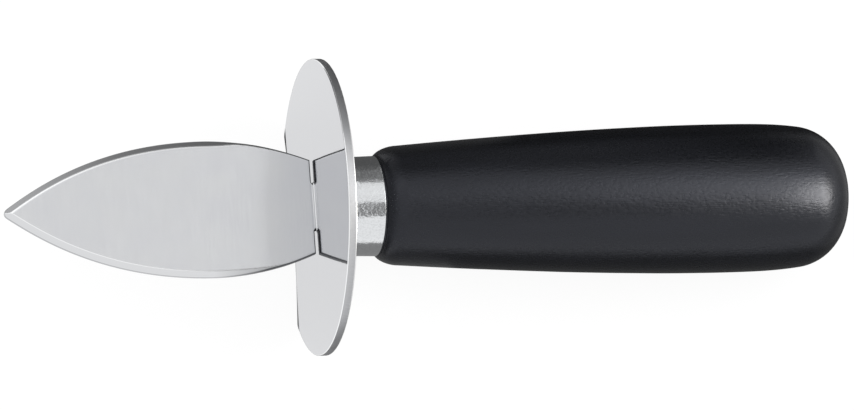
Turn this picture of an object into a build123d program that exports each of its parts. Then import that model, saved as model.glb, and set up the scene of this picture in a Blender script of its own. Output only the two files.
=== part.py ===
from build123d import *
import os
from math import asin, degrees, radians, sin

# A short oyster knife: a leaf-shaped blade with a flat tang, a round guard, a ferrule
# and a turned handle. All lengths are in millimetres.
# +X runs along the knife from the blade to the butt, +Y across the blade, and +Z is square to
# the blade's flat. The origin is on the knife's axis, in the guard's front face.

# Blade: one stamping of sheet steel, leaf and tang together
blade_length = 58.6        # guard's front face to the tip
blade_width = 26.0
blade_thickness = 2.0
widest_place = 20.0        # guard's front face to the leaf's widest place
tip_angle = 68.0           # between the two edges, in degrees
tip_radius = 1.0
shoulder_width = 17.6
shoulder_angle = 34.0      # edge against the axis at the shoulder, in degrees
shoulder_gap = 0.6         # the shoulders stand this far off the guard
edge_thickness = 0.8       # an oyster knife's edge is blunt
bevel_width = 1.2
upper_bevel_end = 13.2     # guard's front face to where the +Y bevel runs out
lower_bevel_end = 6.8      # the same on the -Y side

# How far each end's direction is felt along the leaf's curves, as shares of the stretch
tip_reach_share = 0.148
belly_reach_share = 0.563
waist_reach_share = 0.235
shoulder_reach_share = 0.255

# Tang
tang_width = 8.8
tang_length = 50.0         # behind the guard's front face
tang_end_width = 6.0
tang_end_radius = 1.5
tang_coining = 0.05        # each face of the tang is pressed in by this, so that it enters the slot

# Guard: a disc punched from sheet steel, with a shallow scallop in its lower rim
guard_diameter = 55.6
guard_thickness = 1.6
guard_edge_break = 0.35    # chamfer round each face
scallop_radius = 75.0
scallop_height = 18.4      # axis to the deepest point of the scallop
scallop_corner_radius = 1.0
slot_clearance = 0.1       # round the tang, on each side
slot_corner_radius = 0.2

# Ferrule: a steel tube with a straight bore, a little wider outside towards the wood
ferrule_length = 10.0
ferrule_front_diameter = 18.6
ferrule_rear_diameter = 19.1
ferrule_wall = 0.8         # at the front
ferrule_lip_break = 0.25   # chamfer at each end, outside

# Handle: turned hardwood
handle_swell_diameter = 28.6
shoulder_height = 1.75     # how far the neck stands out from the ferrule
neck_length = 4.4          # the rounded shoulder and a short straight run, up to the grip's curve
swell_place = 84.5         # guard's front face to the handle's widest place
handle_end = 104.3         # guard's front face to the butt
taper_radius = 80.0        # along the handle, behind the widest place
dome_radius = 28.0         # at the butt's end
butt_radius = 10.0         # from the taper into the dome
tenon_chamfer = 0.4

# Mortise for the tang, filled with cured adhesive
mortise_clearance = 0.6    # round the tang, on each side
mortise_end_room = 1.5     # past the tang's end

overrun = 5.0              # how far cuts reach past what they cut

half_width = blade_width / 2
half_shoulder = shoulder_width / 2
half_tang = tang_width / 2
half_thickness = blade_thickness / 2
tang_thickness = blade_thickness - 2 * tang_coining
tenon_start = guard_thickness
tenon_radius = ferrule_front_diameter / 2 - ferrule_wall
neck_start = guard_thickness + ferrule_length
mortise_length = tang_length + mortise_end_room - tenon_start

# The edges would meet here if the tip weren't rounded
sharp_tip = blade_length + tip_radius / sin(radians(tip_angle / 2)) - tip_radius


def polar_step(start, reach, angle):
    return Vector(*start) + Vector(reach, 0).rotate(Axis.Z, angle)


def nearest(shape, place):
    return shape.vertices().sort_by_distance(Vector(*place))[0]


def leaf_curve():
    """The +Y side of the leaf from the sharp tip to its widest place."""
    stretch = sharp_tip - widest_place
    tip = (-sharp_tip, 0)
    return Bezier(
        tip,
        polar_step(tip, tip_reach_share * stretch, tip_angle / 2),
        (-widest_place - belly_reach_share * stretch, half_width),
        (-widest_place, half_width),
    )


def waist_curve():
    """The +Y side of the leaf from its widest place to the shoulder."""
    stretch = widest_place - shoulder_gap
    shoulder = (-shoulder_gap, half_shoulder)
    return Bezier(
        (-widest_place, half_width),
        (-widest_place + waist_reach_share * stretch, half_width),
        polar_step(shoulder, -shoulder_reach_share * stretch, -shoulder_angle),
        shoulder,
    )


def tang_outline():
    return Polyline(
        (-shoulder_gap, half_shoulder),
        (-shoulder_gap, half_tang),
        (neck_start, half_tang),
        (tang_length, tang_end_width / 2),
        (tang_length, 0),
    )


def blank_face():
    """The stamped outline: leaf, shoulders and tang."""
    side = Curve() + [leaf_curve(), waist_curve(), tang_outline()]
    face = make_face(side + mirror(side, Plane.XZ))
    face = fillet(nearest(face, (-sharp_tip, 0)), tip_radius)
    roots = [nearest(face, (-shoulder_gap, y)) for y in (half_tang, -half_tang)]
    face = fillet(roots, shoulder_gap)
    return fillet(face.vertices().group_by(Axis.X)[-1], tang_end_radius)


def ground_curve(bevel_end):
    """The grinding follows the edge up to the widest place, then leaves it, so that the bevel runs out."""
    waist = waist_curve()
    run_out = waist.intersect(Line((-bevel_end, 0), (-bevel_end, blade_width)))[0]
    widest = (-widest_place, half_width)
    leaving = TangentArc(widest, (run_out.X, run_out.Y + bevel_width), tangent=(1, 0))
    past = PolarLine(leaving @ 1, bevel_end + overrun, direction=leaving % 1)
    return Curve() + [leaf_curve(), leaving, past]


def ground_form():
    """The space that the grinding leaves, larger than the blade behind the run-outs."""
    upper = ground_curve(upper_bevel_end)
    lower = mirror(ground_curve(lower_bevel_end), Plane.XZ)
    top, bottom = [c.vertices().sort_by(Axis.X)[-1] for c in (upper, lower)]
    far = tang_length + overrun
    back = Polyline((top.X, top.Y), (far, top.Y), (far, bottom.Y), (bottom.X, bottom.Y))
    body = extrude(make_face(upper + lower + back), half_thickness, both=True)
    sides = body.faces().filter_by(Axis.Z)
    edges = [e for f in sides for e in f.edges() if (e @ 0.5).X < 0]
    return chamfer(edges, (blade_thickness - edge_thickness) / 2, bevel_width)


def blade():
    blank = extrude(blank_face(), half_thickness, both=True)
    corner = (Align.MIN, Align.CENTER, Align.MIN)
    for side in (1, -1):
        press = Box(tang_length + overrun, shoulder_width, overrun, align=corner)
        face = Plane((-shoulder_gap, 0, side * tang_thickness / 2), x_dir=(1, 0, 0), z_dir=(0, 0, side))
        blank -= face * press
    return blank & ground_form()


def guard():
    disc = Circle(guard_diameter / 2)
    disc -= Pos(0, -scallop_height - scallop_radius) * Circle(scallop_radius)
    corners = disc.vertices().group_by(Axis.Y)[0]
    disc = fillet(corners, scallop_corner_radius)
    plate = extrude(Plane.YZ * disc, guard_thickness)
    rims = plate.faces().filter_by(Axis.X).edges()
    plate = chamfer(rims, guard_edge_break)
    slot = RectangleRounded(
        tang_width + 2 * slot_clearance, tang_thickness + 2 * slot_clearance, slot_corner_radius
    )
    return plate - extrude(Plane.YZ * slot, guard_thickness)


def ferrule():
    outside = ((tenon_start, ferrule_front_diameter / 2), (neck_start, ferrule_rear_diameter / 2))
    bore = ((neck_start, tenon_radius), (tenon_start, tenon_radius))
    wall = make_face(Polyline(*outside, *bore, close=True))
    lips = [nearest(wall, place) for place in outside]
    return revolve(chamfer(lips, ferrule_lip_break), Axis.X)


def handle_outline():
    """The turned outline on one side of the axis, tenon included, with sharp corners and no dome yet."""
    tenon = ((neck_start, tenon_radius), (tenon_start, tenon_radius), (tenon_start, 0))
    neck = (neck_start + neck_length, ferrule_rear_diameter / 2 + shoulder_height)
    swell = (swell_place, handle_swell_diameter / 2)
    grip = TangentArc(swell, neck, tangent=(-1, 0))
    run = PolarLine(neck, neck_length, direction=grip % 1, length_mode=LengthMode.HORIZONTAL)
    taper_sweep = degrees(asin((handle_end - swell_place) / taper_radius))
    taper = JernArc(swell, (1, 0), taper_radius, -taper_sweep)
    rest = Polyline(run @ 1, *tenon, (handle_end, 0), (handle_end, (taper @ 1).Y))
    return Curve() + [run, grip, taper, rest]


def mortise():
    """An obround pocket round the tang, from the tenon's face."""
    pocket = SlotOverall(tang_width + 2 * mortise_clearance, tang_thickness + 2 * mortise_clearance)
    return extrude(Plane.YZ.offset(tenon_start) * pocket, mortise_length)


def handle():
    # The dome is one end of a long obround, wider than the handle
    dome = SlotOverall(2 * handle_end, 2 * dome_radius)
    face = make_face(handle_outline()) & dome
    face = fillet(face.vertices().sort_by(Axis.X)[-2], butt_radius)
    # The shoulder behind the ferrule is rounded over its whole height
    inner, outer = face.vertices().group_by(Axis.X)[1].sort_by(Axis.Y)
    face = fillet(outer, outer.Y - inner.Y)
    face = chamfer(face.vertices().group_by(Axis.X)[0].sort_by(Axis.Y)[-1], tenon_chamfer)
    return revolve(face, Axis.X) - mortise()


def tang_adhesive(tang):
    """The cured filling between the tang and the mortise."""
    return mortise() - tang


os.makedirs("parts", exist_ok=True)
knife_blade = blade()
pieces = {
    "blade": knife_blade,
    "guard": guard(),
    "ferrule": ferrule(),
    "handle": handle(),
    "tang_adhesive": tang_adhesive(knife_blade),
}
for name, piece in pieces.items():
    export_step(piece, f"parts/{name}.step")
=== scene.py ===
import math

import bmesh
import bpy
from mathutils import Matrix, Vector
from mathutils.geometry import interpolate_bezier


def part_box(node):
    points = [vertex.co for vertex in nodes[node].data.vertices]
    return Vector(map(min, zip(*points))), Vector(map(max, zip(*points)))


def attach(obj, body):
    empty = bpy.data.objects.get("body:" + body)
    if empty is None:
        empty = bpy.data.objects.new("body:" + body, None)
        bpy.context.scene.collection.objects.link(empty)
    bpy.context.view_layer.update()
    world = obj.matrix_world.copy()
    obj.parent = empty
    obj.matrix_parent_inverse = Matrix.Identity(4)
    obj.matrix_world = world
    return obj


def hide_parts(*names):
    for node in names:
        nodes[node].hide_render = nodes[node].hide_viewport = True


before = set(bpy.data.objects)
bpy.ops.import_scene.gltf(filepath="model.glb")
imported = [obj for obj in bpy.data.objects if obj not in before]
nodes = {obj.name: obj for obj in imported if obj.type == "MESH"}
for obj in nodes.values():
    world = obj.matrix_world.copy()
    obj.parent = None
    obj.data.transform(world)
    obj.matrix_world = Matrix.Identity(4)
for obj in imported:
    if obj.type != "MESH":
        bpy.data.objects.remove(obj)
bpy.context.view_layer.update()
mm = 0.001
print("frame loaded:", len(nodes), "nodes")

# A short oyster knife. +X runs from the blade to the butt, +Y across the blade, +Z up from its flat.
# Sizes in the dictionaries are millimetres from the guard's front face, unless a note says otherwise.


def linearColour(hexColour):
    channels = [int(hexColour[i:i + 2], 16) / 255 for i in (1, 3, 5)]
    return [c / 12.92 if c <= 0.04045 else ((c + 0.055) / 1.055) ** 2.4 for c in channels] + [1]


def addNode(tree, kind, links=None, **settings):
    # a link is a socket, a node whose first output is meant, or a plain value
    node = tree.nodes.new(kind)
    for name, value in settings.items():
        setattr(node, name, value)
    for name, value in (links or {}).items():
        if isinstance(value, bpy.types.Node):
            value = value.outputs[0]
        if isinstance(value, bpy.types.NodeSocket):
            tree.links.new(value, node.inputs[name])
        else:
            node.inputs[name].default_value = value
    return node


def newMaterial(name):
    material = bpy.data.materials.new(name)
    material.use_nodes = True
    material.node_tree.nodes.clear()
    return material, material.node_tree


def mottle(tree, size, detail, *spreads):
    # noise whose blobs are about so many mm long along x, y and z, and after it the same noise, nearly
    # all of which lies between 0.3 and 0.7, spread between each low and high that is asked for
    place = addNode(tree, "ShaderNodeTexCoord").outputs["Object"]
    scaled = addNode(tree, "ShaderNodeMapping", {"Vector": place, "Scale": [1 / (s * mm) for s in size]})
    noise = addNode(tree, "ShaderNodeTexNoise", {"Vector": scaled, "Scale": 1.0, "Detail": detail})
    ranges = [{"Value": noise, "From Min": 0.3, "From Max": 0.7, "To Min": low, "To Max": high}
              for low, high in spreads]
    return [noise, *(addNode(tree, "ShaderNodeMapRange", links) for links in ranges)]


def ramp(tree, source, axis, start, end, bothWays=False):
    # 0 at start and 1 at end, as the object's place or its normal changes along one axis
    read = addNode(tree, "ShaderNodeTexCoord").outputs[source]
    value = addNode(tree, "ShaderNodeSeparateXYZ", {0: read}).outputs[axis]
    if bothWays:
        value = addNode(tree, "ShaderNodeMath", {0: value}, operation="ABSOLUTE")
    return addNode(tree, "ShaderNodeMapRange", {"Value": value, "From Min": start, "From Max": end})


def layered(tree, kind, ground, layers):
    # lays each finish over the last where its mask is 1; kind is RGBA for colours, FLOAT for numbers
    first, result = {"FLOAT": (2, 0), "RGBA": (6, 2)}[kind]
    for mask, finish in layers:
        mix = addNode(tree, "ShaderNodeMix", {0: mask, first: ground, first + 1: finish}, data_type=kind)
        ground = mix.outputs[result]
    return ground


bladeFinish = {
    "face": "#cacbcd",
    "cloud": "#c8c9cc",
    # bevel: lighter than the face, a painted highlight
    "bevelAndHighlight": "#d9dadc",
    # crease: near white, a painted highlight along each crease
    "creaseHighlight": "#f6f7f8",
    # edge: darker along the rounded outline, painted shade
    "edge": "#a9aaad",
    # wall: rough as stamped, and its dark grey is painted shade
    "wall": "#5f6063",
    "creaseNormal": (0.995, 0.96),  # z of the normal where each finish starts and where it is whole
    "bevelNormal": (0.97, 0.9),
    "edgeNormal": (0.86, 0.5),
    "wallNormal": (0.975, 0.8),
    "wallAlong": (-20, -10),  # where the stamped wall starts to show, and where it is whole
    "streakSize": (0.22, 5, 3),  # belt marks are 0.05 mm apart, drawn coarser so that they show
    "streakDepth": 0.0006,
    "cloudSize": (7, 5, 5),
    "faceRoughness": (0.19, 0.25),
    "bevelRoughness": 0.11,
    "wallRoughness": 0.42,
}


def satinBladeSteel(f):
    # Martensitic stainless sheet, ground and finely satin polished: an even silver grey with faint
    # streaks across the blade. Painted highlights make the bevels lighter and their creases near white,
    # painted shade darkens the rounded edges, and the walls where the outline is as it was stamped are
    # rough and darkened with painted shade.
    material, tree = newMaterial("satinBladeSteel")
    streaks, faceRoughness = mottle(tree, f["streakSize"], 3, f["faceRoughness"])
    clouds = mottle(tree, f["cloudSize"], 1, (0, 1))[1]
    # the normal is upright on the flat, leans a little on a crease and more on a bevel, and lies on a wall
    leaning, bevelAndHighlight, edge, offFlat = [ramp(tree, "Normal", 2, *f[name], bothWays=True) for name in (
        "creaseNormal", "bevelNormal", "edgeNormal", "wallNormal")]
    # painted highlight: a near white line where the flat meets each bevel
    creaseHighlight = addNode(tree, "ShaderNodeMath", {0: leaning, 1: bevelAndHighlight}, operation="SUBTRACT")
    # the stamped walls are rough, and their dark grey is painted shade
    stamped = ramp(tree, "Object", 0, *(x * mm for x in f["wallAlong"]))
    wall = addNode(tree, "ShaderNodeMath", {0: offFlat, 1: stamped}, operation="MULTIPLY")
    # clouds tone the face at random; bevel and crease are painted highlights, edge and wall painted shade
    masks = {"cloud": clouds, "bevelAndHighlight": bevelAndHighlight, "creaseHighlight": creaseHighlight, "edge": edge, "wall": wall}
    shader = addNode(tree, "ShaderNodeBsdfPrincipled", {
        "Base Color": layered(tree, "RGBA", linearColour(f["face"]),
                              [(mask, linearColour(f[name])) for name, mask in masks.items()]),
        "Metallic": 1.0,
        "Roughness": layered(tree, "FLOAT", faceRoughness,
                             [(bevelAndHighlight, f["bevelRoughness"]), (wall, f["wallRoughness"])]),
        "Normal": addNode(tree, "ShaderNodeBump", {"Height": streaks, "Distance": f["streakDepth"] * mm}),
    })
    addNode(tree, "ShaderNodeOutputMaterial", {"Surface": shader})
    return material


guardFinish = {
    "face": "#c9cacd",
    # edge: near white on the rounded edges beside both faces, a painted highlight
    "edge": "#f4f5f6",
    "rim": "#b4b5b8",
    "torn": "#a6a7aa",
    "edgeNormal": (0.99, 0.9),  # x of the normal where each finish starts and where it is whole
    "rimNormal": (0.3, 0.08),
    "backNormal": (0.1, 0.3),
    "tearAlong": (0.3, 1.1),  # the punch sheared the rim up to the first, and tore it past the second
    "tearSize": (0.9, 0.25, 0.25),
    "tearShare": (0.2, 1.0),
    "hazeSize": (2, 1.6, 1.6),
    "hazeDepth": 0.0015,
    "faceRoughness": (0.035, 0.06),
    "backRoughness": 0.3,
    "rimRoughness": (0.36, 0.48),
}


def polishedGuardSteel(f):
    # Stainless sheet with one side polished before blanking: a clear mirror with a slight haze in front,
    # a satin back as it was rolled, and a sheared rim that is dull and finely torn. The rounded edges
    # beside both faces are coloured near white, a painted highlight.
    material, tree = newMaterial("polishedGuardSteel")
    haze, faceRoughness = mottle(tree, f["hazeSize"], 2, f["faceRoughness"])
    tearShare, rimRoughness = mottle(tree, f["tearSize"], 3, f["tearShare"], f["rimRoughness"])[1:]
    # the normal lies along x on both faces, towards +x on the back, and square to x on the rim
    # painted highlight on the rounded edges next to both faces
    edge = ramp(tree, "Normal", 0, *f["edgeNormal"], bothWays=True)
    rim = ramp(tree, "Normal", 0, *f["rimNormal"], bothWays=True)
    back = ramp(tree, "Normal", 0, *f["backNormal"])
    through = ramp(tree, "Object", 0, *(x * mm for x in f["tearAlong"]))
    torn = addNode(tree, "ShaderNodeMath", {0: through, 1: tearShare}, operation="MULTIPLY")
    rimColour = layered(tree, "RGBA", linearColour(f["rim"]), [(torn, linearColour(f["torn"]))])
    shader = addNode(tree, "ShaderNodeBsdfPrincipled", {
        "Base Color": layered(tree, "RGBA", linearColour(f["face"]),
                              [(edge, linearColour(f["edge"])), (rim, rimColour)]),
        "Metallic": 1.0,
        "Roughness": layered(tree, "FLOAT", faceRoughness, [(back, f["backRoughness"]), (rim, rimRoughness)]),
        "Normal": addNode(tree, "ShaderNodeBump", {"Height": haze, "Distance": f["hazeDepth"] * mm}),
    })
    addNode(tree, "ShaderNodeOutputMaterial", {"Surface": shader})
    return material


ferruleFinish = {
    "bright": "#dfe1e3",
    "dull": "#d2d4d6",
    # cut: painted shade, the end that faces the wood coloured dark
    "cut": "#58585a",
    "dullSpecks": (0.45, 0.75),  # heights of the noise between which the dull specks grow
    "shadedEndNormal": (0.1, 0.4),  # x of the normal where the painted shade on the end starts and where it is whole
    "dentSize": (1.4, 1.1, 1.1),
    "dentDepth": 0.03,
    "speckSize": (0.45, 0.3, 0.3),
    "speckDepth": 0.018,
    "roughness": (0.1, 0.16),
    "shadedEndRoughness": 0.6,
}


def drawnFerruleSteel(f):
    # Bright drawn steel tube, not polished afterwards: shiny, with shallow dents and dull specks; its end
    # against the wood is rough and coloured dark, a painted shade.
    material, tree = newMaterial("drawnFerruleSteel")
    dents = mottle(tree, f["dentSize"], 1)[0]
    specks, drawnRoughness = mottle(tree, f["speckSize"], 2, f["roughness"])
    low, high = f["dullSpecks"]
    dull = addNode(tree, "ShaderNodeMapRange", {"Value": specks, "From Min": low, "From Max": high})
    # painted shade on the end against the wood, which is also rough
    cut = ramp(tree, "Normal", 0, *f["shadedEndNormal"])
    speckled = addNode(tree, "ShaderNodeBump", {"Height": specks, "Distance": f["speckDepth"] * mm})
    shader = addNode(tree, "ShaderNodeBsdfPrincipled", {
        "Base Color": layered(tree, "RGBA", linearColour(f["bright"]),
                              [(dull, linearColour(f["dull"])), (cut, linearColour(f["cut"]))]),
        "Metallic": 1.0,
        "Roughness": layered(tree, "FLOAT", drawnRoughness, [(cut, f["shadedEndRoughness"])]),
        "Normal": addNode(tree, "ShaderNodeBump", {
            "Height": dents, "Distance": f["dentDepth"] * mm, "Normal": speckled}),
    })
    addNode(tree, "ShaderNodeOutputMaterial", {"Surface": shader})
    return material


woodFinish = {
    "stain": "#0b0c0f",
    "stainLight": "#101115",
    "sheen": "#ecf0ff",
    "figureSize": (30, 3, 3),
    "poreSize": (1.8, 0.25, 0.25),
    "poreDepth": 0.032,
    "peelSize": (0.8, 0.5, 0.5),  # the lacquer's orange peel
    "peelDepth": 0.04,
    "roughness": (0.25, 0.33),
    "lacquerIor": 1.45,
}


def stainedBeech(f):
    # Turned beech, stained black and dipped in satin lacquer: nearly black, a soft broad sheen, with
    # short pores along the grain that the lacquer only half fills.
    material, tree = newMaterial("stainedBeech")
    pores = mottle(tree, f["poreSize"], 2)[0]
    peel, roughness = mottle(tree, f["peelSize"], 3, f["roughness"])
    figure = mottle(tree, f["figureSize"], 2, (0, 1))[1]
    peeled = addNode(tree, "ShaderNodeBump", {"Height": peel, "Distance": f["peelDepth"] * mm})
    shader = addNode(tree, "ShaderNodeBsdfPrincipled", {
        "Base Color": layered(tree, "RGBA", linearColour(f["stain"]),
                              [(figure, linearColour(f["stainLight"]))]),
        "IOR": f["lacquerIor"],
        "Specular Tint": linearColour(f["sheen"]),
        "Roughness": roughness,
        "Normal": addNode(tree, "ShaderNodeBump", {
            "Height": pores, "Distance": f["poreDepth"] * mm, "Normal": peeled}),
    })
    addNode(tree, "ShaderNodeOutputMaterial", {"Surface": shader})
    return material


resinFinish = {
    "clear": "#a98d5c",
    "dusty": "#8d7245",
    "dustSize": (1.2, 1.2, 1.2),
    "dustDepth": 0.03,
    "roughness": (0.4, 0.6),
}


def curedResin(f):
    # Epoxy with wood dust in it, cured: amber, dull where it touched the wood.
    material, tree = newMaterial("curedResin")
    dust, dusty, roughness = mottle(tree, f["dustSize"], 3, (0, 1), f["roughness"])
    shader = addNode(tree, "ShaderNodeBsdfPrincipled", {
        "Base Color": layered(tree, "RGBA", linearColour(f["clear"]), [(dusty, linearColour(f["dusty"]))]),
        "Roughness": roughness,
        "Normal": addNode(tree, "ShaderNodeBump", {"Height": dust, "Distance": f["dustDepth"] * mm}),
    })
    addNode(tree, "ShaderNodeOutputMaterial", {"Surface": shader})
    return material


for materialSlot in nodes["tang_adhesive"].material_slots:
    materialSlot.material = curedResin(resinFinish)
print("finishes made")


def placed(name, mesh, material, node):
    # a finished piece, which shows in place of the frame's plain one
    piece = bpy.data.objects.new(name, mesh)
    mesh.materials.clear()
    mesh.materials.append(material)
    bpy.context.scene.collection.objects.link(piece)
    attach(piece, "root")
    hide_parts(node)


def applied(maker):
    # the plain mesh that a maker object gives with its modifiers, and the maker is gone
    bpy.context.scene.collection.objects.link(maker)
    graph = bpy.context.evaluated_depsgraph_get()
    evaluated = maker.evaluated_get(graph)
    mesh = bpy.data.meshes.new_from_object(evaluated, preserve_all_data_layers=True, depsgraph=graph)
    bpy.data.objects.remove(maker)
    return mesh


def weighted(mesh):
    # large flats keep their own normal, so that only the rounded edges shade round
    mesh.shade_smooth()
    maker = bpy.data.objects.new("weighting", mesh)
    modifier = maker.modifiers.new("weighting", "WEIGHTED_NORMAL")
    modifier.mode = "FACE_AREA"
    modifier.weight = 100  # the most there is
    return applied(maker)


def curveThrough(start, startHandle, endHandle, end, steps):
    handles = [Vector(p) for p in (start, startHandle, endHandle, end)]
    return [Vector(p) for p in interpolate_bezier(*handles, steps)]


def arcAbout(centre, radius, first, last, steps):
    # points from one angle to another, in degrees
    turns = [math.radians(first + (last - first) * i / steps) for i in range(steps + 1)]
    return [Vector((centre[0] + radius * math.cos(t), centre[1] + radius * math.sin(t))) for t in turns]


# What both turned pieces share.
turnedSizes = {
    "weld": 0.005,
    "axisRadius": 0.1,  # closer to the axis than this, points stay where they are
    "sharpAngle": 38,  # degrees, from which an edge stays sharp
}


def turningTree(s):
    # turns a template about the X axis and makes it slightly uneven
    tree = bpy.data.node_groups.new("turnTemplate", "GeometryNodeTree")
    sockets = {"Template": "Geometry", "Sides": "Int", "Weld": "Float", "Wave Height": "Float",
               "Wave Length": "Float", "Wave Width": "Float", "Finish": "Material"}
    for name, kind in sockets.items():
        tree.interface.new_socket(name, in_out="INPUT", socket_type="NodeSocket" + kind)
    tree.interface.new_socket("Turned Piece", in_out="OUTPUT", socket_type="NodeSocketGeometry")
    given = addNode(tree, "NodeGroupInput").outputs
    stations = addNode(tree, "GeometryNodeAttributeDomainSize", {0: given["Template"]}, component="MESH")
    around = addNode(tree, "ShaderNodeMath", {0: given["Sides"], 1: 1.0}, operation="ADD")
    grid = addNode(tree, "GeometryNodeMeshGrid", {
        "Vertices X": stations.outputs["Point Count"], "Vertices Y": around})

    # each grid point's station along the template, and its step round the axis
    index = addNode(tree, "GeometryNodeInputIndex")
    step = addNode(tree, "ShaderNodeMath", {0: index, 1: around}, operation="MODULO")
    passed = addNode(tree, "ShaderNodeMath", {0: index, 1: step}, operation="SUBTRACT")
    station = addNode(tree, "ShaderNodeMath", {0: passed, 1: around}, operation="DIVIDE")
    share = addNode(tree, "ShaderNodeMath", {0: step, 1: given["Sides"]}, operation="DIVIDE")
    turn = addNode(tree, "ShaderNodeMath", {0: share, 1: math.tau}, operation="MULTIPLY")
    outwards = addNode(tree, "ShaderNodeCombineXYZ", {
        axis: addNode(tree, "ShaderNodeMath", {0: turn}, operation=operation)
        for axis, operation in (("Y", "SINE"), ("Z", "COSINE"))})
    sample = addNode(tree, "GeometryNodeSampleIndex", {"Geometry": given["Template"], "Index": station},
                     data_type="FLOAT_VECTOR")
    here = addNode(tree, "GeometryNodeInputPosition").outputs[0]
    tree.links.new(here, [s for s in sample.inputs if s.name == "Value" and s.enabled][0])
    radius = addNode(tree, "ShaderNodeSeparateXYZ", {0: sample}).outputs["Y"]
    along = addNode(tree, "ShaderNodeVectorMath", {0: sample, 1: (1, 0, 0)}, operation="MULTIPLY")
    even = addNode(tree, "ShaderNodeVectorMath", {0: outwards, 1: radius, 2: along}, operation="MULTIPLY_ADD")

    # noise moves every point outwards or inwards, apart from those on the axis
    waveSize = addNode(tree, "ShaderNodeCombineXYZ", {
        "X": given["Wave Length"], "Y": given["Wave Width"], "Z": given["Wave Width"]})
    scaled = addNode(tree, "ShaderNodeVectorMath", {0: even, 1: waveSize}, operation="DIVIDE")
    wave = addNode(tree, "ShaderNodeTexNoise", {"Vector": scaled, "Scale": 1.0, "Detail": 1.0})
    centred = addNode(tree, "ShaderNodeMath", {0: wave, 1: 0.5}, operation="SUBTRACT")
    swing = addNode(tree, "ShaderNodeMath", {0: centred, 1: given["Wave Height"]}, operation="MULTIPLY")
    offAxis = addNode(tree, "ShaderNodeMath", {0: radius, 1: s["axisRadius"] * mm}, operation="GREATER_THAN")
    uneven = addNode(tree, "ShaderNodeMath", {0: swing, 1: offAxis, 2: radius}, operation="MULTIPLY_ADD")
    spot = addNode(tree, "ShaderNodeVectorMath", {0: outwards, 1: uneven, 2: along}, operation="MULTIPLY_ADD")

    turned = addNode(tree, "GeometryNodeSetPosition", {"Geometry": grid, "Position": spot})
    welded = addNode(tree, "GeometryNodeMergeByDistance", {"Geometry": turned, "Distance": given["Weld"]})
    smooth = addNode(tree, "GeometryNodeSetShadeSmooth", {0: welded})
    real = addNode(tree, "GeometryNodeRealizeInstances", {0: smooth})
    finish = addNode(tree, "GeometryNodeSetMaterial", {"Geometry": real, "Material": given["Finish"]})
    addNode(tree, "NodeGroupOutput", {0: finish})
    return tree


turning = turningTree(turnedSizes)
sharpAngle = math.radians(turnedSizes["sharpAngle"])


def turnedMesh(name, template, s, finish):
    mesh = bpy.data.meshes.new(name + "Template")
    edges = [(i, i + 1) for i in range(len(template) - 1)]
    mesh.from_pydata([(x * mm, r * mm, 0) for x, r in template], edges, [])
    maker = bpy.data.objects.new(name + "Template", mesh)
    modifier = maker.modifiers.new("turning", "NODES")
    modifier.node_group = turning
    settings = {
        "Sides": s["sides"],
        "Weld": turnedSizes["weld"] * mm,
        "Wave Height": s["waveHeight"] * mm,
        "Wave Length": s["waveLength"] * mm,
        "Wave Width": s["waveWidth"] * mm,
        "Finish": finish,
    }
    for item in turning.interface.items_tree:
        if item.name in settings:
            modifier[item.identifier] = settings[item.name]
    result = applied(maker)
    shell = bmesh.new()
    shell.from_mesh(result)
    bmesh.ops.recalc_face_normals(shell, faces=shell.faces)
    shell.to_mesh(result)
    shell.free()
    result.set_sharp_from_angle(angle=sharpAngle)
    return result


handleSizes = {
    "tenonStart": 1.6,
    "tenonRadius": 8.48,
    "tenonChamfer": 0.4,
    "mortiseHalfWidth": 5.0,
    "mortiseHalfHeight": 1.55,
    "mortiseEnd": 51.5,
    "mortiseOverrun": 1,  # how far the bit reaches out of the tenon's face
    "mortiseSteps": 8,
    "weld": 0.001,
    "neckStart": 11.6,
    "shoulderFoot": 9.42,  # radius where the wood meets the ferrule
    "shoulderTop": 11.25,
    "shoulderLand": 0.3,  # straight wood between the ferrule and the shoulder's curve
    "shoulderLength": 3.9,
    "shoulderFullness": 1.66,  # 2 would be a quarter of an ellipse
    "shoulderSteps": 15,
    "gripSlope": 0.075,
    "gripReach": 25.6,  # how far the end's direction is felt along a curve, and so are the reaches below
    "gripSteps": 60,
    "swellReach": 16,
    "swellPlace": 79,
    "swellRadius": 14.19,
    "taperReach": 7,
    "taperSteps": 18,
    "buttReach": 5,
    "buttSlope": 0.13,
    "buttRadius": 10,
    "buttHeight": 3.6,  # axis to the butt curve's centre
    "buttSteps": 22,
    "domeRadius": 28,
    "domeSteps": 9,
    "end": 104.299,
    "sides": 168,
    "waveHeight": 0.06,
    "waveLength": 14,
    "waveWidth": 4,
}


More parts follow.
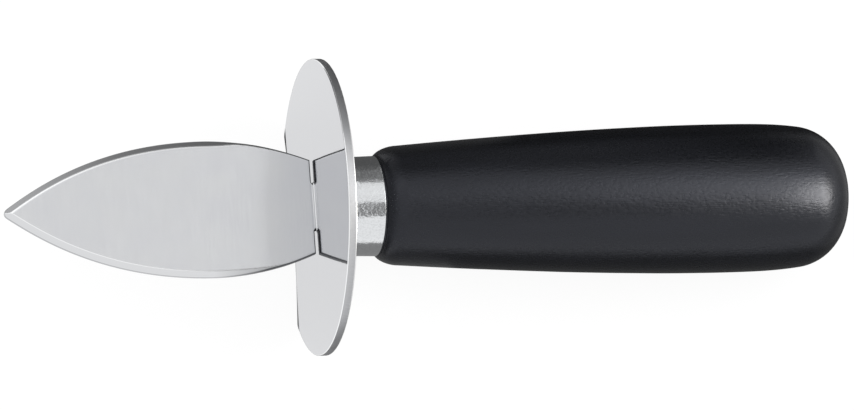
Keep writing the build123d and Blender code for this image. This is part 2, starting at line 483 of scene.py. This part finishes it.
def handleTemplate(s):
    tenon, cut, radius, neck = s["tenonStart"], s["tenonChamfer"], s["tenonRadius"], s["neckStart"]
    points = [Vector(p) for p in ((tenon, 0), (tenon, radius - cut), (tenon + cut, radius), (neck, radius),
                                  (neck, s["shoulderFoot"]))]
    foot = points[-1] + Vector((s["shoulderLand"], 0))
    rise = s["shoulderTop"] - s["shoulderFoot"]
    power = s["shoulderFullness"]
    for i in range(s["shoulderSteps"]):
        t = math.radians(90 * i / s["shoulderSteps"])
        points.append(Vector((foot.x + s["shoulderLength"] * (1 - math.cos(t) ** (2 / power)),
                              foot.y + rise * math.sin(t) ** (2 / power))))
    start = foot + Vector((s["shoulderLength"], rise))
    swell = Vector((s["swellPlace"], s["swellRadius"]))
    points += curveThrough(start, start + Vector((1, s["gripSlope"])) * s["gripReach"],
                           swell - Vector((s["swellReach"], 0)), swell, s["gripSteps"])[:-1]
    # the butt's curve lies inside the dome and touches it
    domeCentre = s["end"] - s["domeRadius"]
    inner = s["domeRadius"] - s["buttRadius"]
    buttCentre = Vector((domeCentre + math.sqrt(inner ** 2 - s["buttHeight"] ** 2), s["buttHeight"]))
    lean = math.degrees(math.atan(s["buttSlope"]))
    meet = math.degrees(math.asin(s["buttHeight"] / inner))
    butt = arcAbout(buttCentre, s["buttRadius"], 90 - lean, meet, s["buttSteps"])
    points += curveThrough(swell, swell + Vector((s["taperReach"], 0)),
                           butt[0] - Vector((1, -s["buttSlope"])) * s["buttReach"], butt[0],
                           s["taperSteps"])[:-1]
    points += butt[:-1] + arcAbout((domeCentre, 0), s["domeRadius"], meet, 0, s["domeSteps"])
    points[-1].y = 0
    return points


def cutMortise(mesh, s):
    # the pocket for the tang and its filling, round at both sides, as a long hole bit leaves it
    radius, reach = s["mortiseHalfHeight"], s["mortiseHalfWidth"] - s["mortiseHalfHeight"]
    outline = [p for side, angle in ((1, -90), (-1, 90))
               for p in arcAbout((side * reach, 0), radius, angle, angle + 180, s["mortiseSteps"])]
    count = len(outline)
    ends = (s["tenonStart"] - s["mortiseOverrun"], s["mortiseEnd"])
    places = [(x * mm, p.x * mm, p.y * mm) for x in ends for p in outline]
    walls = [(i, (i + 1) % count, count + (i + 1) % count, count + i) for i in range(count)]
    shape = bpy.data.meshes.new("mortise")
    shape.from_pydata(places, [], walls + [tuple(range(count)), tuple(range(count, 2 * count))])
    bit = bmesh.new()
    bit.from_mesh(shape)
    bmesh.ops.recalc_face_normals(bit, faces=bit.faces)
    bit.to_mesh(shape)
    bit.free()
    pocket = bpy.data.objects.new("mortise", shape)
    bpy.context.scene.collection.objects.link(pocket)
    maker = bpy.data.objects.new("handleBlank", mesh)
    cut = maker.modifiers.new("mortise", "BOOLEAN")
    cut.object, cut.operation, cut.solver = pocket, "DIFFERENCE", "EXACT"
    result = applied(maker)
    bpy.data.objects.remove(pocket)
    turned = bmesh.new()
    turned.from_mesh(result)
    # the cut leaves slivers where its corners fall close to the turned rings
    bmesh.ops.remove_doubles(turned, verts=turned.verts, dist=s["weld"] * mm)
    bmesh.ops.dissolve_degenerate(turned, edges=turned.edges, dist=s["weld"] * mm)
    bmesh.ops.triangulate(turned, faces=[f for f in turned.faces if len(f.verts) > 4])
    turned.to_mesh(result)
    print("handle: open edges", sum(not e.is_manifold for e in turned.edges))
    turned.free()
    result.set_sharp_from_angle(angle=sharpAngle)
    return result


wood = stainedBeech(woodFinish)
handleBlank = turnedMesh("handle", handleTemplate(handleSizes), handleSizes, wood)
placed("turnedHandle", cutMortise(handleBlank, handleSizes), wood, "handle")
print("handle turned")

ferruleSizes = {
    "front": 1.6,
    "back": 11.58,
    "frontRadius": 9.15,
    "backRadius": 9.42,
    "boreRadius": 8.5,
    "lipRadius": 0.06,
    "lipSteps": 5,
    "wallSteps": 8,
    "wallEndShare": 0.012,  # where the wall gets one ring more, close to each lip
    "sides": 144,
    "waveHeight": 0.05,
    "waveLength": 5,
    "waveWidth": 3.5,
}


def ferruleTemplate(s):
    lip, steps, close = s["lipRadius"], s["lipSteps"], s["wallEndShare"]
    wall = arcAbout((s["front"] + lip, s["frontRadius"] - lip), lip, 180, 90, steps)
    start, end = wall[-1], Vector((s["back"] - lip, s["backRadius"]))
    shares = (close, *(i / s["wallSteps"] for i in range(1, s["wallSteps"])), 1 - close)
    wall += [start.lerp(end, share) for share in shares]
    wall += arcAbout((s["back"] - lip, s["backRadius"] - lip), lip, 90, 0, steps)
    bore = [Vector((s["back"], s["boreRadius"])), Vector((s["front"], s["boreRadius"]))]
    return wall + bore + wall[:1]


tube = drawnFerruleSteel(ferruleFinish)
ferruleMesh = turnedMesh("ferrule", ferruleTemplate(ferruleSizes), ferruleSizes, tube)
placed("drawnFerrule", ferruleMesh, tube, "ferrule")
print("ferrule drawn")

guardSizes = {
    "thickness": 1.6,
    "radius": 27.799,
    "discSteps": 180,
    "edgeRadius": 0.2,
    "edgeSteps": 2,
    "scallopRadius": 75.0,
    "scallopHeight": 18.4,  # axis to the scallop's deepest point
    "scallopSteps": 40,
    "cornerRadius": 1.0,
    "cornerSteps": 10,
    "slotHalfWidth": 4.5,
    "slotHalfHeight": 1.05,
    "slotCorner": 0.3,
    "slotSteps": 5,
    "lipRadius": 0.12,  # a fine lip round the slot, raised when the tang was pressed in
    "lipSink": 0.03,  # how far the lip reaches past the slot's wall
    "lipSteps": 3,
    "weld": 0.001,
}


def guardOutline(s):
    # each corner's circle touches the disc from inside and the scallop's circle from outside
    scallopCentre = -s["scallopHeight"] - s["scallopRadius"]
    fromAxis, fromScallop = s["radius"] - s["cornerRadius"], s["scallopRadius"] + s["cornerRadius"]
    z = (fromScallop ** 2 - fromAxis ** 2 - scallopCentre ** 2) / (-2 * scallopCentre)
    corner = Vector((math.sqrt(fromAxis ** 2 - z ** 2), z))
    discAngle = math.degrees(math.atan2(corner.y, corner.x))
    scallopAngle = math.degrees(math.atan2(corner.y - scallopCentre, corner.x))
    # centre, radius, first and last angle and steps of each arc
    arcs = (((0, 0), s["radius"], discAngle, 180 - discAngle, s["discSteps"]),
            ((-corner.x, corner.y), s["cornerRadius"], 180 - discAngle, 360 - scallopAngle, s["cornerSteps"]),
            ((0, scallopCentre), s["scallopRadius"], 180 - scallopAngle, scallopAngle, s["scallopSteps"]),
            (corner, s["cornerRadius"], 180 + scallopAngle, 360 + discAngle, s["cornerSteps"]))
    points = [p for arc in arcs for p in arcAbout(*arc)[1:]]
    return points[-1:] + points[:-1]


def roundedSlot(s, outwards=0.0, widened=0.0):
    # the slot's outline, or one that lies so far outside it, with corners so much wider
    corner = s["slotCorner"] + widened
    y, z = [s[name] + outwards - corner for name in ("slotHalfWidth", "slotHalfHeight")]
    centres = ((y, z), (-y, z), (-y, -z), (y, -z))
    return [p for i, centre in enumerate(centres)
            for p in arcAbout(centre, corner, 90 * i, 90 * i + 90, s["slotSteps"])]


def closedSpline(curve, points):
    spline = curve.splines.new("POLY")
    spline.points.add(len(points) - 1)
    for point, place in zip(spline.points, points):
        point.co = (place[0] * mm, place[1] * mm, 0, 1)
    spline.use_cyclic_u = True


def flatCurve(name, outlines, **settings):
    curve = bpy.data.curves.new(name, "CURVE")
    curve.dimensions = "2D"
    for key, value in settings.items():
        setattr(curve, key, value)
    for outline in outlines:
        closedSpline(curve, outline)
    return applied(bpy.data.objects.new(name, curve))


def guardMesh(s):
    edge, lip, middle = s["edgeRadius"] * mm, s["lipRadius"], s["thickness"] / 2 * mm
    plate = flatCurve("guardSheet", (guardOutline(s), roundedSlot(s)), fill_mode="BOTH", offset=-edge,
                      extrude=middle - edge, bevel_depth=edge, bevel_resolution=s["edgeSteps"])
    ring = flatCurve("slotLip", (roundedSlot(s, lip - s["lipSink"], lip),), fill_mode="NONE",
                     bevel_depth=lip * mm, bevel_resolution=s["lipSteps"])
    both = bmesh.new()
    for part, x in ((plate, middle), (ring, 0)):
        part.transform(Matrix(((0, 0, 1, x), (1, 0, 0, 0), (0, 1, 0, 0), (0, 0, 0, 1))))
        both.from_mesh(part)
    bmesh.ops.remove_doubles(both, verts=both.verts, dist=s["weld"] * mm)
    bmesh.ops.recalc_face_normals(both, faces=both.faces)
    mesh = bpy.data.meshes.new("guard")
    both.to_mesh(mesh)
    both.free()
    return weighted(mesh)


placed("polishedGuard", guardMesh(guardSizes), polishedGuardSteel(guardFinish), "guard")
print("guard stamped")

bladeSizes = {
    "reach": 58.6,
    "halfWidth": 13.0,
    "widestPlace": 20.0,
    "tipAngle": 34,  # each edge against the axis, in degrees
    "tipRadius": 1.0,
    "tipReach": 0.148,  # shares of each stretch over which its end's direction is felt
    "bellyReach": 0.563,
    "waistReach": 0.5,
    "shoulderReach": 0.1,
    "shoulderHalfWidth": 8.95,
    "shoulderAngle": 21,
    "shoulderGap": 0.38,
    "halfThickness": 1.0,
    "edgeHalfThickness": 0.4,
    "bevelWidth": 1.2,
    "upperCrease": 0.45,  # how far each crease between flat and bevel is rounded, to both sides
    "lowerCrease": 0.17,
    "groundEdge": 0.1,  # edge radius where the outline was ground
    "upperRoll": 0.65,  # and where it is as stamped, rolled by the die, behind each bevel's end
    "lowerRoll": 0.3,
    "shoulderRoll": 0.48,
    "upperRunOut": 11.8,
    "lowerRunOut": 5.8,
    "tangHalfWidth": 4.4,
    "tangEndHalfWidth": 3.0,
    "tangEndRadius": 1.5,
    "tangLength": 50.0,
    "tangTaperStart": 11.6,
    "bevelRows": 20,
    "bevelRowStep": 0.088,
    "edgeShares": (0, 0.1, 0.3, 0.6, 1),  # rows over an edge's rounding, as shares of its radius
    "cornerShares": (1, 0.6, 0.3, 0.1),  # rings before the shoulder's corner, as shares of shoulderRoll
    "noseSteps": 10,
    "leafSteps": 120,
    "waistSteps": 110,
    "runOutSteps": 30,
    "rootSteps": 7,
    "tangEndSteps": 6,
    "tangEndStart": 87,  # degrees, where the tapered side runs into the end's curve
    "leastLean": 0.5,  # keeps the rows from spreading too far at the nose
    "noseRingGap": 0.1,  # the least room between rings, behind the nose and before the shoulder's corner
    "shoulderRingGap": 0.05,
    "groundOverrun": 20,  # how far the ground lines reach past the bevels' ends
    "weld": 0.0005,
}


def pointAt(line, x):
    for a, b in zip(line, line[1:]):
        if a.x <= x <= b.x:
            return a.lerp(b, (x - a.x) / (b.x - a.x))


def nearestOn(line, p, reach=4.0):
    # distance to a line that isn't looked for further away than reach
    best = reach ** 2
    for a, b in zip(line, line[1:]):
        if a.x - reach < p.x < b.x + reach:
            along = b - a
            t = min(1, max(0, (p - a).dot(along) / along.length_squared))
            best = min(best, (a + along * t - p).length_squared)
    return math.sqrt(best)


def edgeRadiusAt(s, x, side):
    # the die's roll is ground away from the widest place on
    runOut, roll = (s["upperRunOut"], s["upperRoll"]) if side > 0 else (s["lowerRunOut"], s["lowerRoll"])
    if x < -runOut:
        share = max(0, (x + s["widestPlace"]) / (s["widestPlace"] - runOut))
        return s["groundEdge"] + (roll - s["groundEdge"]) * share
    return roll + (s["shoulderRoll"] - roll) * min(1, (x + runOut) / (runOut - s["shoulderGap"]))


def leafPlan(s):
    # the leaf seen from above, half of it: its curves, and the points at which it gets a ring
    angle, slope = math.radians(s["tipAngle"]), math.radians(s["shoulderAngle"])
    sharpTip = -(s["reach"] + s["tipRadius"] / math.sin(angle) - s["tipRadius"])
    stretch = -s["widestPlace"] - sharpTip
    tip, widest = Vector((sharpTip, 0)), Vector((-s["widestPlace"], s["halfWidth"]))
    leaf = curveThrough(tip, tip + Vector((math.cos(angle), math.sin(angle))) * s["tipReach"] * stretch,
                        widest - Vector((s["bellyReach"] * stretch, 0)), widest, s["leafSteps"])
    waistStretch = s["widestPlace"] - s["shoulderGap"]
    shoulder = Vector((-s["shoulderGap"], s["shoulderHalfWidth"]))
    waistHandle = Vector((math.cos(slope), -math.sin(slope))) * s["shoulderReach"] * waistStretch
    waist = curveThrough(widest, widest + Vector((s["waistReach"] * waistStretch, 0)),
                         shoulder - waistHandle, shoulder, s["waistSteps"])
    nose = arcAbout((-s["reach"] + s["tipRadius"], 0), s["tipRadius"], 180, 90 + s["tipAngle"],
                    s["noseSteps"])
    fine = [pointAt(waist, -s["shoulderGap"] - share * s["shoulderRoll"]) for share in s["cornerShares"]]
    stations = nose + [p for p in leaf if p.x > nose[-1].x + s["noseRingGap"]]
    stations += [p for p in waist[1:-1] if p.x < fine[0].x - s["shoulderRingGap"]] + fine + [shoulder]
    return {"leaf": leaf, "waist": waist, "stations": stations}


def groundLine(s, plan, runOut):
    # the grinder follows the edge to the widest place, then leaves it on an arc and a straight
    start = plan["leaf"][-1]
    end = pointAt(plan["waist"], -runOut) + Vector((0, s["bevelWidth"]))
    across, rise = end - start
    radius = (across ** 2 + rise ** 2) / (2 * rise)
    sweep = 2 * math.atan2(rise, across)
    turns = [sweep * (i + 1) / s["runOutSteps"] for i in range(s["runOutSteps"])]
    arc = [start + Vector((radius * math.sin(t), radius * (1 - math.cos(t)))) for t in turns]
    return plan["leaf"] + arc + [end + Vector((math.cos(sweep), math.sin(sweep))) * s["groundOverrun"]]


def bladeMesh(s):
    plan = leafPlan(s)
    stations = plan["stations"]
    grounds = {1: groundLine(s, plan, s["upperRunOut"]), -1: groundLine(s, plan, s["lowerRunOut"])}
    creases = {1: s["upperCrease"], -1: s["lowerCrease"]}
    root = s["shoulderGap"]
    rootTop = s["tangHalfWidth"] + root
    rootArc = arcAbout((0, rootTop), root, 180, 270, s["rootSteps"])
    tangRun = [Vector((s["tangTaperStart"], s["tangHalfWidth"]))]
    tangEnd = arcAbout((s["tangLength"] - s["tangEndRadius"], s["tangEndHalfWidth"] - s["tangEndRadius"]),
                       s["tangEndRadius"], s["tangEndStart"], 0, s["tangEndSteps"])
    outline = stations + rootArc + tangRun + tangEnd
    drop = (s["halfThickness"] - s["edgeHalfThickness"]) / s["bevelWidth"]

    def heightAt(x, y):
        # half the blade's thickness there, after grinding and with its edges rounded
        side = 1 if y >= 0 else -1
        p, mirrored = Vector((x, abs(y))), Vector((x, -abs(y)))
        into = s["bevelWidth"] - min(nearestOn(grounds[side], p), nearestOn(grounds[-side], mirrored))
        blend = creases[side]
        if x > -s["shoulderGap"]:
            ground = 0
        elif into >= blend:
            ground = into
        else:
            ground = max(0, into + blend) ** 2 / (4 * blend)
        inside, edge = nearestOn(outline, p), edgeRadiusAt(s, x, side)
        rounding = 0 if inside >= edge else edge - math.sqrt(edge ** 2 - (edge - inside) ** 2)
        return s["halfThickness"] - drop * ground - rounding

    def edgeSteps(x, side):
        return [share * edgeRadiusAt(s, x, side) for share in s["edgeShares"]]

    def bevelSteps(x, side):
        steps = edgeSteps(x, side)
        return steps + [steps[-1] + s["bevelRowStep"] * (i + 1) for i in range(s["bevelRows"])]

    slope = math.radians(s["shoulderAngle"])
    lastRow = s["shoulderHalfWidth"] - bevelSteps(0, 1)[-1] / math.cos(slope)
    rootRows = [rootTop - step for step in edgeSteps(0, 1)]

    def leafRows(i, side):
        # distances from the axis, from the edge inwards
        here, before, after = stations[i], stations[max(i - 1, 0)], stations[min(i + 1, len(stations) - 1)]
        run = after - before
        lean = max(s["leastLean"], run.x / run.length) if i < len(stations) - 1 else math.cos(slope)
        rows = [max(0, here.y - step / lean) for step in bevelSteps(here.x, side)]
        return rows + [rows[-1] * r / lastRow for r in rootRows] + [0]

    def tangRows(p, side):
        return [max(0, p.y - step) for step in edgeSteps(p.x, side)] + [0]

    shell = bmesh.new()

    def ringAt(x, rowsOf, at):
        # the section's upper and under side, on the +Y half and on the -Y half
        ring = {}
        for side in (1, -1):
            top, under = [], []
            for row in rowsOf(at, side):
                height = heightAt(x, side * row)
                top.append(shell.verts.new((x * mm, side * row * mm, height * mm)))
                under.append(shell.verts.new((x * mm, side * row * mm, -height * mm)))
            ring[side] = (top, under)
        return ring

    def skin(first, second, rows):
        # faces between the innermost rows of two sections, and the wall between their outer ends
        for side in (1, -1):
            for k in (0, 1):
                a, b = first[side][k][-rows:], second[side][k][-rows:]
                for i in range(rows - 1):
                    shell.faces.new((a[i], a[i + 1], b[i + 1], b[i]))
            a, b = first[side], second[side]
            shell.faces.new((a[0][-rows], b[0][-rows], b[1][-rows], a[1][-rows]))

    rings = [ringAt(p.x, leafRows, i) for i, p in enumerate(stations)]
    shoulderRows = len(bevelSteps(0, 1))
    count = shoulderRows + len(rootRows) + 1
    for a, b in zip(rings, rings[1:]):
        skin(a, b, count)
    last = rings[-1]
    for side in (1, -1):
        for i in range(shoulderRows):
            top, under = last[side]
            shell.faces.new((top[i], top[i + 1], under[i + 1], under[i]))
    for p in rootArc[1:] + tangRun + tangEnd:
        ring = ringAt(p.x, tangRows, p)
        skin(last, ring, len(rootRows) + 1)
        last = ring
    bmesh.ops.remove_doubles(shell, verts=shell.verts, dist=s["weld"] * mm)
    bmesh.ops.dissolve_degenerate(shell, edges=shell.edges, dist=s["weld"] * mm)
    bmesh.ops.holes_fill(shell, edges=[e for e in shell.edges if e.is_boundary])
    bmesh.ops.recalc_face_normals(shell, faces=shell.faces)
    mesh = bpy.data.meshes.new("blade")
    shell.to_mesh(mesh)
    print("blade shell: open edges", sum(not e.is_manifold for e in shell.edges))
    shell.free()
    return weighted(mesh)


placed("satinBlade", bladeMesh(bladeSizes), satinBladeSteel(bladeFinish), "blade")
print("blade ground")

# The stage's sizes are in metres.
stageSizes = {
    "floorHalfWidth": 6.0,
    "floorAlbedo": 0.12,
    "floorGlow": 0.9,
    "cardDistance": 0.5,
    "cardLift": 0.0003,  # above the floor
    "handleRestsBehind": 0.06,  # the handle meets the floor somewhere past this
    "boxesAim": (0.03, 0, 0),
}
# The knife rests on the guard's lower rim and on the handle, so the floor leans a little.
guardLow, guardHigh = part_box("guard")
floorSlope = min((v.co.z - guardLow.z) / (v.co.x - guardHigh.x) for v in nodes["handle"].data.vertices
                 if v.co.x > stageSizes["handleRestsBehind"])

# Cards round the knife that glow and are seen only in reflections, painted reflections of dark flags
# and bright zones: angles from straight up towards +Y in degrees, x of both ends, the grey at each end,
# and the stretch of x over which the one fades into the other.
slantedCards = {
    "sideCardTop": ((46, 55), (-0.6, 0.112), (0.46, 0.16), (-0.06, 0.1)),
    "tipSideCard": ((55, 78), (-0.6, -0.03), (0.58, 0.24), (-0.2, -0.03)),
    "sideCard": ((55, 78), (-0.03, 0.112), (0.24, 0.15), (-0.03, 0.1)),
    "sideCardFoot": ((78, 102), (-0.6, 0.112), (0.42, 0.08), (-0.06, 0.1)),
    "ferruleCardTop": ((40, 55), (0.112, 0.16), (0.3, 0.3), (0, 1)),
    "ferruleCard": ((55, 78), (0.112, 0.16), (0.27, 0.27), (0, 1)),
    "ferruleCardFoot": ((78, 102), (0.112, 0.16), (0.17, 0.17), (0, 1)),
    "mirroredSkyCard": ((0, 25), (-0.3, -0.02), (1.18, 1.18), (0, 1)),
    "handleSideCard": ((44, 102), (0.16, 0.33), (0.03, 0.03), (0, 1)),
    "buttSideCard": ((44, 102), (0.33, 0.9), (0.25, 0.8), (0.33, 0.4)),
    "bladeSkyCard": ((40, 14), (0.05, 0.112), (1.0, 0.86), (0.06, 0.112)),
    "ferruleSkyCard": ((40, 14), (0.112, 0.16), (1.05, 1.05), (0, 1)),
    "gapCardEdge": ((14, -5), (0.05, 0.16), (1.0, 0.84), (0.06, 0.115)),
    "gapCard": ((-5, -35), (0.08, 0.16), (0.2, 0.2), (0, 1)),
    "handleGapCard": ((-12, -35), (0.16, 0.3), (0.5, 1.0), (0.16, 0.27)),
}
# Dark cards on the floor, seen only in reflections, paint the floor's shade there: their stretches of x and
# of y, and their grey.
floorCards = {
    "ferruleFrontFloorCard": ((-0.0003, 0.03), (-0.09, 0), 0.26),
    "ferruleBackFloorCard": ((-0.0003, 0.045), (0, 0.12), 0.1),
    "farFloorCard": ((-0.0003, 0.14), (0.12, 0.5), 0.1),
    "handleFrontFloorCard": ((0.03, 0.12), (-0.09, 0), 0.13),
    "handleBackFloorCard": ((0.045, 0.12), (0, 0.12), 0.03),
    "handleFarFloorCard": ((0.14, 0.4), (0.12, 0.5), 0.05),
    "buttFrontFloorCard": ((0.12, 0.4), (-0.09, 0), 0.35),
    "buttBackFloorCard": ((0.12, 0.4), (0, 0.12), 0.42),
    "shoulderFloorCard": ((-0.6, -0.02), (0.03, 0.5), 0.12),
}


def whitePaper():
    # the paper glows only for camera, glossy and transmission rays, so it is seen white and is no lamp
    material, tree = newMaterial("whitePaper")
    path = addNode(tree, "ShaderNodeLightPath").outputs
    seen = 0.0
    for ray in ("Is Camera Ray", "Is Glossy Ray", "Is Transmission Ray"):
        seen = addNode(tree, "ShaderNodeMath", {0: seen, 1: path[ray]}, operation="MAXIMUM")
    strength = addNode(tree, "ShaderNodeMath", {0: seen, 1: stageSizes["floorGlow"]}, operation="MULTIPLY")
    glow = addNode(tree, "ShaderNodeEmission", {"Strength": strength})
    paper = addNode(tree, "ShaderNodeBsdfDiffuse", {"Color": [stageSizes["floorAlbedo"]] * 3 + [1]})
    both = addNode(tree, "ShaderNodeAddShader", {0: paper, 1: glow})
    addNode(tree, "ShaderNodeOutputMaterial", {"Surface": both})
    return material


def paintedReflectionCard(levels, fade=(0.0, 1.0)):
    # a glowing grey sheet that paints a lit card into reflections, fading from one grey to another along x
    material, tree = newMaterial("paintedReflectionCard")
    place = addNode(tree, "ShaderNodeTexCoord").outputs["Object"]
    along = addNode(tree, "ShaderNodeSeparateXYZ", {0: place})
    level = addNode(tree, "ShaderNodeMapRange", {
        "Value": along, "From Min": fade[0], "From Max": fade[1], "To Min": levels[0], "To Max": levels[1]})
    card = addNode(tree, "ShaderNodeEmission", {"Strength": level})
    addNode(tree, "ShaderNodeOutputMaterial", {"Surface": card})
    return material


def oneSidedCard(level):
    # the same in one grey, and clear from behind
    material, tree = newMaterial("oneSidedCard")
    behind = addNode(tree, "ShaderNodeNewGeometry").outputs["Backfacing"]
    front = addNode(tree, "ShaderNodeEmission", {"Strength": level})
    clear = addNode(tree, "ShaderNodeBsdfTransparent")
    card = addNode(tree, "ShaderNodeMixShader", {0: behind, 1: front, 2: clear})
    addNode(tree, "ShaderNodeOutputMaterial", {"Surface": card})
    return material


def stageSheet(name, corners, material):
    mesh = bpy.data.meshes.new(name)
    mesh.from_pydata(corners, [], [(0, 1, 2, 3)])
    mesh.materials.append(material)
    material.cycles.emission_sampling = "NONE"
    sheet = bpy.data.objects.new(name, mesh)
    bpy.context.scene.collection.objects.link(sheet)
    return sheet


def reflectedCard(name, corners, material):
    # a card that only reflections see
    card = stageSheet(name, corners, material)
    for kind in ("camera", "diffuse", "transmission", "volume_scatter", "shadow"):
        setattr(card, "visible_" + kind, False)


def stripBetween(angles, ends):
    (x0, x1), distance = ends, stageSizes["cardDistance"]
    turns = [math.radians(angle) for angle in angles]
    first, last = [(distance * math.sin(t), distance * math.cos(t)) for t in turns]
    return [(x0, *first), (x1, *first), (x1, *last), (x0, *last)]


def onFloor(xs, ys, above=0.0):
    # the corners of a rectangle on the leaning floor
    corners = ((xs[0], ys[0]), (xs[1], ys[0]), (xs[1], ys[1]), (xs[0], ys[1]))
    return [(x, y, guardLow.z + floorSlope * (x - guardHigh.x) + above) for x, y in corners]


half = stageSizes["floorHalfWidth"]
stageSheet("floor", onFloor((-half, half), (-half, half)), whitePaper())
for name, (angles, ends, levels, fade) in slantedCards.items():
    reflectedCard(name, stripBetween(angles, ends), paintedReflectionCard(levels, fade))
for name, (xs, ys, level) in floorCards.items():
    reflectedCard(name, onFloor(xs, ys, stageSizes["cardLift"]), paintedReflectionCard((level, level)))

# The guard's back mirrors the end box into the wood's shoulder. This card stops that with a painted grey
# reflection, on its +X side alone.
guardCard = {
    "x": 0.00166,
    "halfWidth": 0.014,
    "low": -0.014,
    "high": 0.0275,
    "level": 0.5,
}
x, y, low, high = [guardCard[name] for name in ("x", "halfWidth", "low", "high")]
reflectedCard("guardBackCard", [(x, -y, low), (x, y, low), (x, y, high), (x, -y, high)],
              oneSidedCard(guardCard["level"]))

world = bpy.data.worlds.new("whiteStudio")
bpy.context.scene.world = world
world.use_nodes = True
sky = world.node_tree
sky.nodes.clear()
background = addNode(sky, "ShaderNodeBackground", {"Color": (1, 1, 1, 1)})
addNode(sky, "ShaderNodeOutputWorld", {"Surface": background})
world.cycles.sampling_method = "NONE"  # so that a card hides it from every reflection

# Towards, distance, width, depth, radiance, colour, and whether it also lights dull surfaces.
softboxes = {
    "overheadBox": ((-0.47, 0.54, 0.9), 0.7, 0.58, 0.32, 0.3, "#ffffff", True),
    "handleBox": ((0.6, 0.04, 0.9), 0.72, 0.5, 0.5, 1.75, "#ffffff", True),
    "endBox": ((0.76, -0.12, 0.66), 0.7, 0.36, 0.4, 10.4, "#fffaee", False),
}
for name, (towards, distance, width, depth, radiance, tint, lightsAll) in softboxes.items():
    lamp = bpy.data.lights.new(name, "AREA")
    lamp.shape = "RECTANGLE"
    lamp.size, lamp.size_y = width, depth
    lamp.energy = radiance * math.pi * width * depth
    lamp.color = linearColour(tint)[:3]
    box = bpy.data.objects.new(name, lamp)
    bpy.context.scene.collection.objects.link(box)
    away = Vector(towards).normalized()
    box.location = Vector(stageSizes["boxesAim"]) + away * distance
    box.rotation_euler = away.to_track_quat("Z", "Y").to_euler()
    box.visible_camera = False
    box.visible_diffuse = lightsAll

cameraSizes = {
    "distance": 0.9,
    "towards": (-0.25058, -0.20584),  # x and y of the direction from the knife to the camera
    "roll": -0.0765,  # radians
    "aim": (0.021847, -0.000021, 0),
    "pixelsPerMetre": 5309.93,
    "imageWidth": 854,
    "sensorWidth": 36,  # mm
    "nearest": 0.05,
}


def placeCamera(c):
    x, y = c["towards"]
    back = Vector((x, y, math.sqrt(1 - x * x - y * y)))
    right = Vector((0, 1, 0)).cross(back).normalized()
    turn = Matrix.Rotation(c["roll"], 3, back)
    right, up = turn @ right, turn @ back.cross(right)
    data = bpy.data.cameras.new("productCamera")
    data.sensor_width = c["sensorWidth"]
    data.lens = c["pixelsPerMetre"] * c["distance"] / c["imageWidth"] * data.sensor_width
    data.clip_start = c["nearest"]
    camera = bpy.data.objects.new("productCamera", data)
    bpy.context.scene.collection.objects.link(camera)
    pose = Matrix((right, up, back)).transposed().to_4x4()
    camera.matrix_world = Matrix.Translation(Vector(c["aim"]) + back * c["distance"]) @ pose
    bpy.context.scene.camera = camera


placeCamera(cameraSizes)
bpy.context.scene.view_settings.view_transform = "Standard"
print("studio and camera set")
